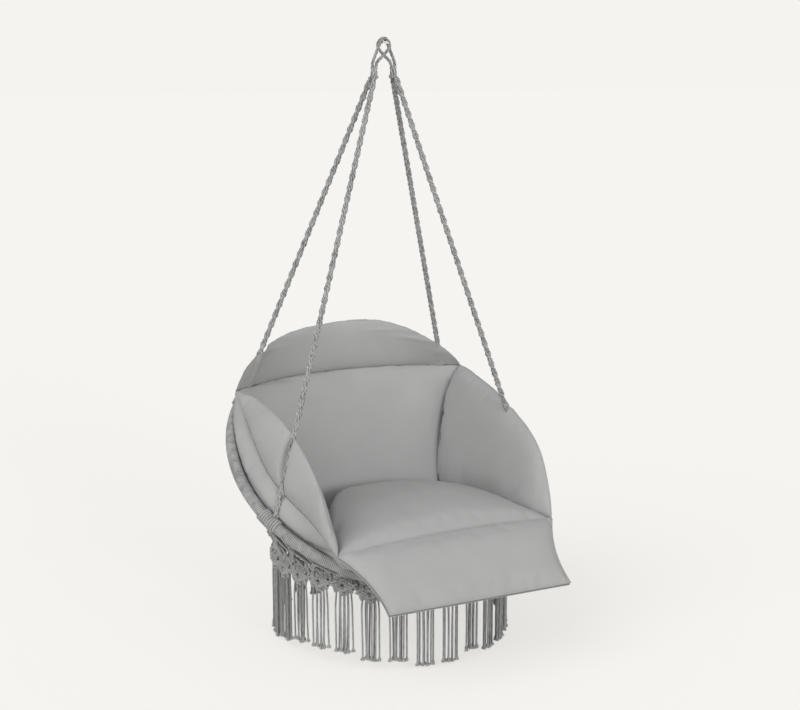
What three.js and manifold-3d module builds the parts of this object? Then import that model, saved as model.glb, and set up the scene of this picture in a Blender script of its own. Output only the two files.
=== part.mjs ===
// Hammock chair: two steel hoops in macrame cord, a sewn pad in six panels and four ropes on two eyes.
// Millimetres, +Z up, the front of the chair towards -Y. The origin is the centre of the hook that it hangs on.
import * as THREE from 'three';
import { mergeVertices } from 'three/addons/utils/BufferGeometryUtils.js';
import Module from 'manifold-3d';

const wasm = await Module();
wasm.setup();

// Back hoop: the large hoop that leans back and carries the four ropes
const backHoopRadius = 400;
const backHoopTilt = 34;
const backHoopSet = -1;
const hangHeight = 1043;
const backTubeRadius = 11;
const backTubeWall = 1.5;
const backWrapRadius = 14;

// Seat hoop: the smaller level hoop, lashed just behind and below the front of the back hoop
const seatHoopRadius = 280;
const seatTubeRadius = 8.5;
const seatTubeWall = 1.2;
const seatWrapRadius = 11.5;
const lashAngle = 18;

// Clearances between pieces that touch
const clearance = 0.35;
const roomRise = 250;
const seamGap = 0.5;
const buttGap = 3;
const padGap = 3;

// Hook, thimble and eyes
const hookRadius = 8;
const thimbleWall = 1.6;
const thimbleWidth = 20;
const thimbleReach = 68;
const eyeCordRadius = 4;
const eyeSpacing = 9;
const eyeOuterReach = 84;
const eyeInnerReach = 128;
const eyeCrossHeight = 23;
const eyeBendRise = 13.5;
const eyeInnerSlack = 4;
const bindingDrop = 66;
const bindingSpread = 26.5;
const bindingRadius = 13.5;

// Hanging ropes and their hitches round the back hoop
const ropeRadius = 6.5;
const frontRopeAngle = 68.3;
const backRopeAngle = 130;
const hitchCordRadius = 2.9;
const hitchTurns = 4;
const hitchGap = 1.1;
const hitchTurnGap = 1;
const ropeStepShare = 6;

// Tassels hanging round the seat hoop
const tasselCount = 28;
const tasselWidth = 54;
const tasselDepth = 16;
const tasselHeadHeight = 24;
const tasselSeatAngle = 45;
const tasselLength = 165;
const strandCount = 6;
const strandWidth = 7.6;
const strandStagger = 3.6;
const headCorner = 4;

// Nets: a diamond net between the hoops and a square net across the seat hoop
const netThickness = 6;
const netGap = 0.8;
const netHeight = 146;
const netCordWidth = 9;
const netBorder = 8;
const netScallop = 0.6;
const netOpenAngle = 25.7;
const netColumns = 24;
const netRows = 2;
const seatNetPitch = 62;
const seatNetThickness = 5;

// Pad: places of its seams and crests, as shares of the back hoop's radius across, up the slope and above the hoop
const wingCrestShares = [
  [0.815, 0.54, 0.2], [0.772, 0.42, 0.27], [0.757, 0.15, 0.368], [0.752, -0.085, 0.415],
  [0.76, -0.29, 0.437], [0.762, -0.48, 0.405], [0.76, -0.68, 0.292],
];
const wingSeamShares = [
  [0.85, 0.54, 0.133], [0.868, 0.42, 0.125], [0.89, 0.15, 0.125], [0.888, -0.085, 0.125],
  [0.856, -0.29, 0.133], [0.808, -0.48, 0.145], [0.768, -0.68, 0.177],
];
const wingBaseShares = [
  [0.72, 0.54, 0.03], [0.658, 0.42, -0.1], [0.585, 0.15, -0.4], [0.652, -0.085, -0.25],
  [0.67, -0.29, -0.12], [0.675, -0.48, 0.03], [0.7, -0.68, 0.14],
];
const wingRearShares = [0.84, 0.612, 0.143];
const wingFrontShares = [0.752, -0.795, 0.212];
const wingInnerSwell = 18;
const wingOuterSwell = 16;

// Pad panels: sets are behind the back hoop's centre and rises above it
const backPanelTopHalfWidth = 332;
const backPanelLowHalfWidth = 232;
const backPanelTopRise = 185;
const backPanelLowRise = -129;
const backPanelTopSet = 276;
const backPanelTopCornerSet = 173;
const backPanelLowSet = 186;
const backPanelLowCornerSet = 128;
const backPanelWaist = 26;
const backPanelSwell = 30;
const backPanelDepth = 72;

const collarHeight = 132;
const collarLean = 5;
const collarSwell = 34;
const collarDepth = 36;

const seatHalfWidth = 276;
const seatFrontSet = -317;
const seatFrontRise = -108;
const seatRearSet = 194;
const seatRearCornerSet = 132;
const seatRearRise = -127;
const seatRearWaist = 44;
const seatSwell = 34;
const seatDepth = 101;

const flapTopHalfWidth = 297;
const flapLowHalfWidth = 247;
const flapWaist = 14;
const flapLowSlope = -506;
const flapLowRise = 72;
const flapSwell = 20;
const flapDepth = 30;
const flapLift = 75;

// Counts of flat facets
const backHoopSteps = 48;
const seatHoopSteps = 28;
const hoopSides = 8;
const innerSides = 6;
const ropeSides = 8;
const padColumns = 10;
const padRows = 6;
const ringPoints = 14;
const loopSteps = 10;
const loopSides = 5;
const thimbleSteps = 12;
const eyeArcSteps = 9;
const eyeSteps = 26;
const ballSides = 12;
const ballRings = 8;
const coverSteps = 4;
const slotSteps = 6;
const liftSteps = 3;
const strandSides = 3;

const deg = THREE.MathUtils.degToRad;
const colour = { cord: 0x91918f, fabric: 0xa5a5a4, steel: 0x6f7376, thimble: 0xd2d3d2 };
const cordMaterial = () => new THREE.MeshStandardMaterial({ color: colour.cord, roughness: 0.9, metalness: 0 });
const fabricMaterial = () => new THREE.MeshStandardMaterial({ color: colour.fabric, roughness: 0.85, metalness: 0 });
const steelMaterial = () => new THREE.MeshStandardMaterial({ color: colour.steel, roughness: 0.4, metalness: 1 });
const thimbleMaterial = () => new THREE.MeshStandardMaterial({ color: colour.thimble, roughness: 0.3, metalness: 1 });

// Frame of the back hoop: across it, up its slope, and square to it
const across = new THREE.Vector3(1, 0, 0);
const upSlope = new THREE.Vector3(0, Math.cos(deg(backHoopTilt)), Math.sin(deg(backHoopTilt)));
const above = new THREE.Vector3(0, -Math.sin(deg(backHoopTilt)), Math.cos(deg(backHoopTilt)));
const backHoopCentre = new THREE.Vector3(0, backHoopSet, -hangHeight);

function onHoop(u, v, w) {
  return backHoopCentre.clone().addScaledVector(across, u).addScaledVector(upSlope, v).addScaledVector(above, w);
}

function backHoopPoint(angle, radius = backHoopRadius) {
  return onHoop(radius * Math.sin(angle), -radius * Math.cos(angle), 0);
}

function backHoopTangent(angle) {
  return onHoop(Math.cos(angle), Math.sin(angle), 0).sub(backHoopCentre);
}

// The seat hoop's front lies against the back hoop's front
const hoopSpacing = backWrapRadius + seatWrapRadius + clearance * 2;
const seatHoopFront = backHoopPoint(0).add(new THREE.Vector3(
  0, hoopSpacing * Math.cos(deg(lashAngle)), -hoopSpacing * Math.sin(deg(lashAngle))));
const seatHoopCentre = seatHoopFront.clone().add(new THREE.Vector3(0, seatHoopRadius, 0));

function seatHoopPoint(angle, radius = seatHoopRadius) {
  return seatHoopCentre.clone().add(new THREE.Vector3(radius * Math.sin(angle), -radius * Math.cos(angle), 0));
}

const group = new THREE.Group();

function piece(name, geometry, material) {
  const mesh = new THREE.Mesh(geometry, material);
  mesh.name = name;
  group.add(mesh);
  return mesh;
}

// Solids for cutting
function toSolid(geometry) {
  const bare = geometry.clone();
  bare.deleteAttribute('normal');
  bare.deleteAttribute('uv');
  const merged = mergeVertices(bare);
  return new wasm.Manifold(new wasm.Mesh({
    numProp: 3,
    vertProperties: new Float32Array(merged.attributes.position.array),
    triVerts: new Uint32Array(merged.index.array),
  }));
}

function toGeometry(solid) {
  const mesh = solid.getMesh();
  const geometry = new THREE.BufferGeometry();
  geometry.setAttribute('position', new THREE.BufferAttribute(mesh.vertProperties, mesh.numProp));
  geometry.setIndex(new THREE.BufferAttribute(mesh.triVerts, 1));
  geometry.computeVertexNormals();
  return geometry;
}

// A closed skin from rings of points, each with as many points, with a fan to a point at each end
function middleOf(ring) {
  return ring.reduce((sum, p) => sum.add(p), new THREE.Vector3()).divideScalar(ring.length);
}

function loft(rings, firstPoint = middleOf(rings[0]), lastPoint = middleOf(rings[rings.length - 1])) {
  const count = rings[0].length;
  const points = rings.flat();
  const first = points.push(firstPoint) - 1;
  const last = points.push(lastPoint) - 1;
  const faces = [];
  for (let i = 0; i < count; i += 1) {
    const j = (i + 1) % count;
    faces.push(first, j, i);
    for (let r = 0; r + 1 < rings.length; r += 1) {
      const a = r * count;
      const b = a + count;
      faces.push(a + i, a + j, b + j, a + i, b + j, b + i);
    }
    const end = (rings.length - 1) * count;
    faces.push(last, end + i, end + j);
  }
  return skin(points, faces);
}

// A closed skin with its faces turned outwards
function skin(points, faces) {
  const product = new THREE.Vector3();
  let total = 0;
  for (let i = 0; i < faces.length; i += 3) {
    total += points[faces[i]].dot(product.crossVectors(points[faces[i + 1]], points[faces[i + 2]]));
  }
  if (total < 0) faces.reverse();
  const geometry = new THREE.BufferGeometry();
  geometry.setAttribute('position', new THREE.Float32BufferAttribute(points.flatMap((p) => p.toArray()), 3));
  geometry.setIndex(faces);
  geometry.computeVertexNormals();
  return geometry;
}

// A tube along a curve, with a bore if one is given
function roundShape(radius, sides) {
  const shape = new THREE.Shape();
  for (let i = 0; i < sides; i += 1) {
    const a = (i / sides) * Math.PI * 2;
    const x = radius * Math.cos(a);
    const y = radius * Math.sin(a);
    if (i) shape.lineTo(x, y);
    else shape.moveTo(x, y);
  }
  shape.closePath();
  return shape;
}

function tube(curve, radius, sides, steps, bore = 0) {
  const shape = roundShape(radius, sides);
  if (bore) shape.holes.push(roundShape(bore, sides));
  return new THREE.ExtrudeGeometry(shape, { steps, extrudePath: curve, curveSegments: 1 });
}

class HoopCurve extends THREE.Curve {
  constructor(pointAt, from, to) {
    super();
    this.pointAt = pointAt;
    this.from = from;
    this.to = to;
  }

  getPoint(t, target = new THREE.Vector3()) {
    return target.copy(this.pointAt(this.from + (this.to - this.from) * t));
  }
}

// Hoops: a bent tube closed by a butt joint at the back, in a close cord wrapping with its butt there too
function addHoop(name, pointAt, radius, tubeRadius, wall, wrapRadius, steps) {
  const half = buttGap / 2 / radius;
  const ring = () => new HoopCurve(pointAt, Math.PI + half, Math.PI * 3 - half);
  const room = (tubeRadius + clearance) / Math.cos(Math.PI / hoopSides);
  piece(`${name}_tube`, tube(ring(), tubeRadius, innerSides, steps, tubeRadius - wall), steelMaterial());
  piece(`${name}_wrap`, tube(ring(), wrapRadius, hoopSides, steps, room), cordMaterial());
}

addHoop('back_hoop', backHoopPoint, backHoopRadius, backTubeRadius, backTubeWall, backWrapRadius, backHoopSteps);
addHoop('seat_hoop', seatHoopPoint, seatHoopRadius, seatTubeRadius, seatTubeWall, seatWrapRadius, seatHoopSteps);

// Thimble: a bent saddle over the hook, on which both eyes ride
function thimble() {
  const inner = hookRadius + clearance;
  const outer = inner + thimbleWall;
  const shape = new THREE.Shape();
  const from = deg(90 - thimbleReach);
  const to = deg(90 + thimbleReach);
  shape.absarc(0, 0, outer, from, to, false);
  shape.absarc(0, 0, inner, to, from, true);
  shape.closePath();
  const depth = thimbleWidth;
  const geometry = new THREE.ExtrudeGeometry(shape, { depth, bevelEnabled: false, curveSegments: thimbleSteps });
  geometry.translate(0, 0, -thimbleWidth / 2);
  geometry.rotateX(Math.PI / 2);
  return geometry;
}

piece('hook_thimble', thimble(), thimbleMaterial());

// Eyes: each goes up from its binding, over the thimble and back down to the same binding
const eyeRadius = hookRadius + thimbleWall + clearance * 2 + eyeCordRadius;

function eyeCurve(side) {
  const legGap = eyeCordRadius + clearance;
  const lowEnd = -bindingDrop + bindingRadius + clearance;
  const bend = lowEnd + eyeBendRise;
  const lane = side * eyeSpacing / 2;
  const x = (offset) => side * (bindingSpread + offset);
  const points = [new THREE.Vector3(x(legGap), 0, lowEnd), new THREE.Vector3(x(legGap), lane / 2, bend)];
  for (let i = 0; i <= eyeArcSteps; i += 1) {
    const a = deg(eyeOuterReach - (eyeOuterReach + eyeInnerReach) * (i / eyeArcSteps));
    points.push(new THREE.Vector3(side * eyeRadius * Math.sin(a), lane, eyeRadius * Math.cos(a)));
  }
  points.push(new THREE.Vector3(side * eyeCordRadius / 2, lane, -eyeCrossHeight));
  points.push(new THREE.Vector3(x(-legGap - eyeInnerSlack), lane / 2, bend));
  points.push(new THREE.Vector3(x(-legGap), 0, lowEnd));
  return new THREE.CatmullRomCurve3(points, false, 'centripetal');
}

for (const [name, side] of [['left', -1], ['right', 1]]) {
  piece(`${name}_eye`, tube(eyeCurve(side), eyeCordRadius, ropeSides, eyeSteps), cordMaterial());
  const ball = new THREE.SphereGeometry(bindingRadius, ballSides, ballRings).rotateX(Math.PI / 2);
  piece(`${name}_binding`, ball, cordMaterial()).position.set(side * bindingSpread, 0, -bindingDrop);
}

// Hanging ropes: from a binding to a hitch round the back hoop
const hitchOuterRadius = backWrapRadius + hitchGap + hitchCordRadius * 2;

function ropeEnds(side, angle, lane) {
  const foot = backHoopPoint(side * angle);
  const aim = new THREE.Vector3(side * bindingSpread, lane, -bindingDrop);
  const direction = aim.clone().sub(foot).normalize();
  const high = aim.addScaledVector(direction, -bindingRadius * Math.cos(Math.PI / 2 / ballRings) - clearance);
  const along = Math.abs(direction.dot(backHoopTangent(side * angle)));
  const square = Math.sqrt(1 - along * along);
  const standOff = (hitchOuterRadius + clearance + ropeRadius * along) / square;
  return { low: foot.clone().addScaledVector(direction, standOff), high, direction };
}

// A winding round the back hoop's cord wrap, one unbroken cord with straight ends
const hitchPitch = hitchCordRadius * 2 + hitchTurnGap;
const hitchPaths = [];

function hitch(side, angle) {
  const coilRadius = backWrapRadius + hitchGap + hitchCordRadius;
  const rings = [];
  const path = [];
  for (let i = 0; i <= hitchTurns * loopSteps; i += 1) {
    const turn = i / loopSteps;
    const place = side * deg(angle) + ((turn - hitchTurns / 2) * hitchPitch) / backHoopRadius;
    const centre = backHoopPoint(place);
    const out = centre.clone().sub(backHoopCentre).normalize();
    const a = turn * Math.PI * 2;
    const spoke = out.multiplyScalar(Math.cos(a)).addScaledVector(above, Math.sin(a));
    const tangent = backHoopTangent(place);
    const ring = [];
    for (let k = 0; k < loopSides; k += 1) {
      const b = (k / loopSides) * Math.PI * 2;
      ring.push(centre.clone()
        .addScaledVector(spoke, coilRadius + hitchCordRadius * Math.cos(b))
        .addScaledVector(tangent, hitchCordRadius * Math.sin(b)));
    }
    rings.push(ring);
    path.push(centre.clone().addScaledVector(spoke, coilRadius));
  }
  const moved = (ring, along) => ring.map((p) => p.clone().addScaledVector(above, along));
  rings.unshift(moved(rings[0], -hitchCordRadius * 2));
  rings.push(moved(rings[rings.length - 1], hitchCordRadius * 2));
  hitchPaths.push(path);
  return loft(rings);
}

// Least gap from one turn of a winding to the next, on its points
function leastTurnGap() {
  let least = Infinity;
  for (const path of hitchPaths) {
    for (let i = 0; i < path.length; i += 1) {
      for (let j = i + loopSteps / 2; j < path.length; j += 1) least = Math.min(least, path[i].distanceTo(path[j]));
    }
  }
  return least - hitchCordRadius * 2;
}

const ropes = [];
for (const [name, side] of [['left', -1], ['right', 1]]) {
  for (const [end, angle, way] of [['front', frontRopeAngle, -1], ['back', backRopeAngle, 1]]) {
    const lane = way * (ropeRadius + clearance);
    const { low, high, direction } = ropeEnds(side, deg(angle), lane);
    const steps = Math.round(high.distanceTo(low) / (ropeRadius * ropeStepShare));
    piece(`${end}_${name}_rope`, tube(new THREE.LineCurve3(low, high), ropeRadius, ropeSides, steps), cordMaterial());
    piece(`${end}_${name}_hitch`, hitch(side, angle), cordMaterial());
    ropes.push({ low, high, direction, side, way });
  }
}

// The space of one hitch, as a short thick sleeve round the hoop
function hitchCover(side, angle) {
  const half = ((hitchTurns * hitchPitch) / 2 + hitchCordRadius + clearance) / backHoopRadius;
  const rings = [];
  const outer = (hitchOuterRadius + clearance) / Math.cos(Math.PI / hoopSides);
  for (let i = 0; i <= coverSteps; i += 1) {
    const place = side * deg(angle) + half * ((2 * i) / coverSteps - 1);
    const centre = backHoopPoint(place);
    const out = centre.clone().sub(backHoopCentre).normalize();
    const ring = [];
    for (let k = 0; k < hoopSides; k += 1) {
      const b = (k / hoopSides) * Math.PI * 2;
      ring.push(centre.clone().addScaledVector(out, outer * Math.cos(b)).addScaledVector(above, -outer * Math.sin(b)));
    }
    rings.push(ring);
  }
  return toSolid(loft(rings));
}

const hitchRoom = [-1, 1].flatMap((side) => [frontRopeAngle, backRopeAngle].map((angle) => hitchCover(side, angle)))
  .reduce((sum, solid) => sum.add(solid));

// A flat plate of a given outline, half of its depth on each side
function plate(points, depth) {
  const shape = new THREE.Shape(points.map(([x, y]) => new THREE.Vector2(x, y)));
  const flat = new THREE.ExtrudeGeometry(shape, { depth, bevelEnabled: false, curveSegments: 1 });
  return toSolid(flat.translate(0, 0, -depth / 2));
}

// One column of the net between the hoops, drawn flat: an outline with half gaps on both sides, and whole gaps between
function netColumn(dx, dy, high) {
  const cut = netCordWidth / 2;
  const slant = Math.hypot(dx, dy);
  const gapWide = dx / 2 - (cut * slant) / dy;
  const gapHigh = dy / 2 - (cut * slant) / dx;
  const side = [[dx, 0], [dx, netBorder + cut], [dx - gapWide + cut, netBorder + cut], [dx, netBorder + gapHigh]];
  for (let j = 1; j < netRows; j += 1) {
    const y = netBorder + j * dy;
    side.push([dx, y - gapHigh], [dx - gapWide, y], [dx, y + gapHigh]);
  }
  side.push([dx, high - netBorder - gapHigh], [dx - gapWide + cut, high - netBorder - cut]);
  side.push([dx, high - netBorder - cut], [dx, high]);
  const mirrored = side.map(([x, y]) => [dx - x, y]).reverse();
  const contour = [[dx / 2, netScallop], ...side, [dx / 2, high - netScallop], ...mirrored];
  const gaps = [];
  for (let j = 0; j < netRows; j += 1) {
    const y = netBorder + (j + 0.5) * dy;
    const x = dx / 2;
    gaps.push([[x - gapWide, y], [x, y + gapHigh], [x + gapWide, y], [x, y - gapHigh]]);
  }
  return { contour, gaps };
}

// The net between the hoops: equal columns side by side, bent to the lines from one hoop to the other
function shellNet() {
  const span = Math.PI * 2 - deg(netOpenAngle) * 2;
  const dx = (span * seatHoopRadius) / netColumns;
  const high = netHeight;
  const dy = (high - netBorder * 2) / netRows;
  const { contour, gaps } = netColumn(dx, dy, high);
  const flat = [contour, ...gaps].map((loop) => loop.map(([x, y]) => new THREE.Vector2(x, y)));
  const triangles = THREE.ShapeUtils.triangulateShape(flat[0], flat.slice(1));
  const spots = flat.flat();
  const points = [];
  const faces = [];
  for (let c = 0; c < netColumns; c += 1) {
    const front = points.length;
    const back = front + spots.length;
    for (const lift of [netThickness / 2, -netThickness / 2]) {
      for (const { x, y } of spots) {
        const angle = deg(netOpenAngle) + ((c + x / dx) / netColumns) * span;
        points.push(shellPoint(angle, y / high, lift));
      }
    }
    for (const [i, j, k] of triangles) faces.push(front + i, front + j, front + k, back + i, back + k, back + j);
    let start = 0;
    for (const loop of flat) {
      for (let i = 0; i < loop.length; i += 1) {
        const j = (i + 1) % loop.length;
        const shared = loop[i].x === loop[j].x && (loop[i].x === 0 ? c > 0 : loop[i].x === dx && c + 1 < netColumns);
        const [a, b] = [start + i, start + j];
        if (!shared) faces.push(back + a, back + b, front + b, back + a, front + b, front + a);
      }
      start += loop.length;
    }
  }
  return skin(points, faces);
}

// A point on the shell between the hoops: drop 0 at the back hoop and 1 at the seat hoop, outside it by offset
function shellPoint(angle, drop, offset) {
  const top = backHoopPoint(angle);
  const low = seatHoopPoint(angle);
  const line = low.clone().sub(top).normalize();
  const out = shellOutward(angle);
  const slantAt = (tangent) => Math.sqrt(1 - line.dot(tangent) ** 2);
  const from = top.addScaledVector(line, (backWrapRadius + netGap) / slantAt(backHoopTangent(angle)));
  const seatTangent = new THREE.Vector3(Math.cos(angle), Math.sin(angle), 0);
  const to = low.addScaledVector(line, -(seatWrapRadius + netGap) / slantAt(seatTangent));
  return from.lerp(to, drop).addScaledVector(out, offset);
}

function shellOutward(angle) {
  const line = seatHoopPoint(angle).sub(backHoopPoint(angle)).normalize();
  return new THREE.Vector3().crossVectors(line, backHoopTangent(angle)).normalize();
}

const shellNetSolid = toSolid(shellNet()).subtract(hitchRoom);
piece('shell_net', toGeometry(shellNetSolid), cordMaterial());

// Net across the seat hoop
function seatNet() {
  const radius = seatHoopRadius - seatWrapRadius - clearance * 2;
  const edge = [];
  for (let i = 0; i < seatHoopSteps; i += 1) {
    const a = (i / seatHoopSteps) * Math.PI * 2;
    edge.push([radius * Math.sin(a), -radius * Math.cos(a)]);
  }
  const gaps = [];
  const half = (seatNetPitch - netCordWidth) / 2;
  const count = Math.floor(radius / seatNetPitch);
  for (let i = -count; i <= count; i += 1) {
    for (let j = -count; j <= count; j += 1) {
      const x = i * seatNetPitch;
      const y = j * seatNetPitch;
      const corner = Math.hypot(Math.abs(x) + half, Math.abs(y) + half);
      if (corner > radius - netBorder) continue;
      gaps.push([[x - half, y - half], [x + half, y - half], [x + half, y + half], [x - half, y + half]]);
    }
  }
  const cuts = gaps.map((gap) => plate(gap, seatNetThickness * 2)).reduce((sum, cut) => sum.add(cut));
  return toGeometry(plate(edge, seatNetThickness).subtract(cuts));
}

piece('seat_net', seatNet(), cordMaterial()).position.copy(seatHoopCentre);

// Tassels: strands under a knotted head that hangs on the outside of the seat hoop
function tassel() {
  const shape = new THREE.Shape();
  const x = tasselWidth / 2;
  const y = tasselDepth / 2;
  shape.moveTo(-x + headCorner, -y);
  for (const [sx, sy] of [[1, -1], [1, 1], [-1, 1], [-1, -1]]) {
    const first = sx * sy < 0 ? [sx * (x - headCorner), sy * y] : [sx * x, sy * (y - headCorner)];
    const next = sx * sy < 0 ? [sx * x, sy * (y - headCorner)] : [sx * (x - headCorner), sy * y];
    shape.lineTo(...first);
    shape.lineTo(...next);
  }
  shape.closePath();
  const head = new THREE.ExtrudeGeometry(shape, { depth: tasselHeadHeight, bevelEnabled: false });
  head.translate(0, 0, -tasselHeadHeight);
  let solid = toSolid(head);
  const reach = tasselLength - tasselHeadHeight / 2;
  for (let i = 0; i < strandCount; i += 1) {
    const strand = new THREE.CylinderGeometry(strandWidth / 2, strandWidth / 2, reach, strandSides).rotateX(Math.PI / 2);
    const place = (i + 0.5) / strandCount - 0.5;
    strand.translate(place * tasselWidth, (i % 2 ? 1 : -1) * strandStagger, -tasselHeadHeight / 2 - reach / 2);
    solid = solid.add(toSolid(strand));
  }
  return toGeometry(solid);
}

const tasselHeadDrop = seatWrapRadius * Math.sin(deg(tasselSeatAngle));
const tasselHeadSet = seatWrapRadius * Math.cos(deg(tasselSeatAngle));
const tasselRing = seatHoopRadius + tasselHeadSet + clearance + tasselDepth / 2;
const tasselGeometry = tassel();
for (let i = 0; i < tasselCount; i += 1) {
  const angle = (i / tasselCount) * Math.PI * 2;
  const mesh = piece(`tassel_${String(i + 1).padStart(2, '0')}`, tasselGeometry, cordMaterial());
  mesh.position.copy(seatHoopPoint(angle, tasselRing));
  mesh.position.z -= tasselHeadDrop;
  mesh.rotation.z = angle;
}

// Room that the pad has: inside the shell, and clear of the hoops and the ropes
function ringSolid(pointAt, room) {
  const rings = [];
  for (let i = 0; i < backHoopSteps; i += 1) {
    const angle = (i / backHoopSteps) * Math.PI * 2;
    const centre = pointAt(angle);
    const middle = pointAt(angle, 0);
    const out = centre.clone().sub(middle).normalize();
    const up = new THREE.Vector3().crossVectors(pointAt(angle + Math.PI / backHoopSteps).sub(centre).normalize(), out).normalize();
    const ring = [];
    for (let k = 0; k < hoopSides; k += 1) {
      const b = (k / hoopSides) * Math.PI * 2;
      ring.push(centre.clone().addScaledVector(out, room * Math.cos(b)).addScaledVector(up, room * Math.sin(b)));
    }
    rings.push(ring);
  }
  return toSolid(closedLoft(rings));
}

function closedLoft(rings) {
  const count = rings[0].length;
  const faces = [];
  rings.forEach((ring, r) => {
    const a = r * count;
    const b = ((r + 1) % rings.length) * count;
    for (let i = 0; i < count; i += 1) {
      const j = (i + 1) % count;
      faces.push(a + i, b + j, a + j, a + i, b + i, b + j);
    }
  });
  return skin(rings.flat(), faces);
}

function shellRoom() {
  const low = [];
  const high = [];
  for (let i = 0; i < backHoopSteps; i += 1) {
    const angle = (i / backHoopSteps) * Math.PI * 2;
    const inset = -netThickness / 2 - padGap;
    const out = shellOutward(angle);
    const rise = backHoopPoint(angle).sub(seatHoopPoint(angle)).normalize();
    low.push(seatHoopPoint(angle).addScaledVector(out, inset).add(new THREE.Vector3(0, 0, seatNetThickness / 2 + clearance)));
    high.push(backHoopPoint(angle).addScaledVector(out, inset).addScaledVector(rise, roomRise));
  }
  return toSolid(loft([low, high]));
}

function ropeRoom({ low, high, direction, side, way }) {
  const room = ropeRadius + clearance;
  const shape = new THREE.Shape();
  shape.absarc(0, 0, room, Math.PI / 2, (Math.PI * 3) / 2, false);
  shape.lineTo(roomRise, -room);
  shape.lineTo(roomRise, room);
  shape.closePath();
  const length = high.distanceTo(low) + roomRise;
  const slot = new THREE.ExtrudeGeometry(shape, { depth: length, bevelEnabled: false, curveSegments: slotSteps });
  const away = new THREE.Vector3(side, way > 0 ? 1 : 0, 0);
  const outward = away.addScaledVector(direction, -away.dot(direction)).normalize();
  const third = new THREE.Vector3().crossVectors(direction, outward);
  const start = low.clone().addScaledVector(direction, -roomRise / 4);
  slot.applyMatrix4(new THREE.Matrix4().makeBasis(outward, third, direction).setPosition(start));
  return toSolid(slot);
}

const hoopRoom = ringSolid(backHoopPoint, backWrapRadius + padGap)
  .add(ringSolid(seatHoopPoint, seatWrapRadius + padGap));
const ropesRoom = ropes.map(ropeRoom).reduce((sum, solid) => sum.add(solid));
const padRoom = shellRoom().subtract(hoopRoom).subtract(ropesRoom).subtract(hitchRoom);

// A panel of the pad: two skins over one patch, joined at its seam, with the seam's places given for -1 to 1 each way
function panel(middle, front, swell, depth, extra = 0) {
  const size = middle(1, 0).distanceTo(middle(-1, 0));
  const height = middle(0, 1).distanceTo(middle(0, -1));
  const growS = 1 + (extra * 2) / size;
  const growT = 1 + (extra * 2) / height;
  const points = [];
  const index = [];
  const spread = (i, n) => Math.sin((i / n - 0.5) * Math.PI);
  for (const skinSide of [1, -1]) {
    const grid = [];
    for (let i = 0; i <= padColumns; i += 1) {
      const row = [];
      for (let j = 0; j <= padRows; j += 1) {
        const s = spread(i, padColumns);
        const t = spread(j, padRows);
        const edge = i === 0 || j === 0 || i === padColumns || j === padRows;
        if (edge && skinSide < 0) {
          row.push(index[0][i][j]);
          continue;
        }
        const fill = edge ? 0 : Math.sqrt((1 - s ** 4) * (1 - t ** 4));
        const lift = skinSide > 0 ? swell * fill + (edge ? 0 : extra) : -depth * fill - (edge ? 0 : extra);
        row.push(points.push(middle(s * growS, t * growT).addScaledVector(front(s, t), lift)) - 1);
      }
      grid.push(row);
    }
    index.push(grid);
  }
  const faces = [];
  index.forEach((grid, n) => {
    for (let i = 0; i < padColumns; i += 1) {
      for (let j = 0; j < padRows; j += 1) {
        const [a, b, c, d] = [grid[i][j], grid[i + 1][j], grid[i + 1][j + 1], grid[i][j + 1]];
        if (n === 0) faces.push(a, b, c, a, c, d);
        else faces.push(a, c, b, a, d, c);
      }
    }
  });
  return toSolid(skin(points, faces));
}

const mix = THREE.MathUtils.lerp;

function behind(x, set, rise) {
  return backHoopCentre.clone().add(new THREE.Vector3(x, set, rise));
}

function backPanel(extra = 0) {
  const middle = (s, t) => {
    const k = (t + 1) / 2;
    const halfWidth = mix(backPanelLowHalfWidth, backPanelTopHalfWidth, k) - backPanelWaist * (1 - t * t);
    const centre = mix(backPanelLowSet, backPanelTopSet, k);
    const corner = mix(backPanelLowCornerSet, backPanelTopCornerSet, k);
    return behind(s * halfWidth, mix(centre, corner, s * s), mix(backPanelLowRise, backPanelTopRise, k));
  };
  return panel(middle, () => new THREE.Vector3(0, -1, 0), backPanelSwell, backPanelDepth, extra);
}

function collarPanel(extra = 0) {
  const middle = (s, t) => {
    const k = (t + 1) / 2;
    const set = mix(backPanelTopSet, backPanelTopCornerSet, s * s) + collarLean * k * (1 - s * s);
    const rise = backPanelTopRise + seamGap + collarHeight * k * Math.sqrt(Math.max(1 - s * s, 0));
    return behind(s * backPanelTopHalfWidth, set, rise);
  };
  return panel(middle, () => new THREE.Vector3(0, -1, 0), collarSwell, collarDepth, extra);
}

function seatPanel(extra = 0) {
  const middle = (s, t) => {
    const k = (t + 1) / 2;
    const rear = mix(seatRearSet, seatRearCornerSet, s * s);
    return behind(s * (seatHalfWidth - seatRearWaist * k ** 3), mix(seatFrontSet, rear, k), mix(seatFrontRise, seatRearRise, k));
  };
  return panel(middle, () => new THREE.Vector3(0, 0, 1), seatSwell, seatDepth, extra);
}

function flapPanel() {
  const seam = behind(0, seatFrontSet, seatFrontRise);
  const hem = onHoop(0, flapLowSlope, flapLowRise);
  const middle = (s, t) => {
    const k = (1 - t) / 2;
    const halfWidth = mix(flapTopHalfWidth, flapLowHalfWidth, k) - flapWaist * (1 - t * t);
    return seam.clone().lerp(hem, k).addScaledVector(across, s * halfWidth);
  };
  return panel(middle, () => above, flapSwell, flapDepth);
}

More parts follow.
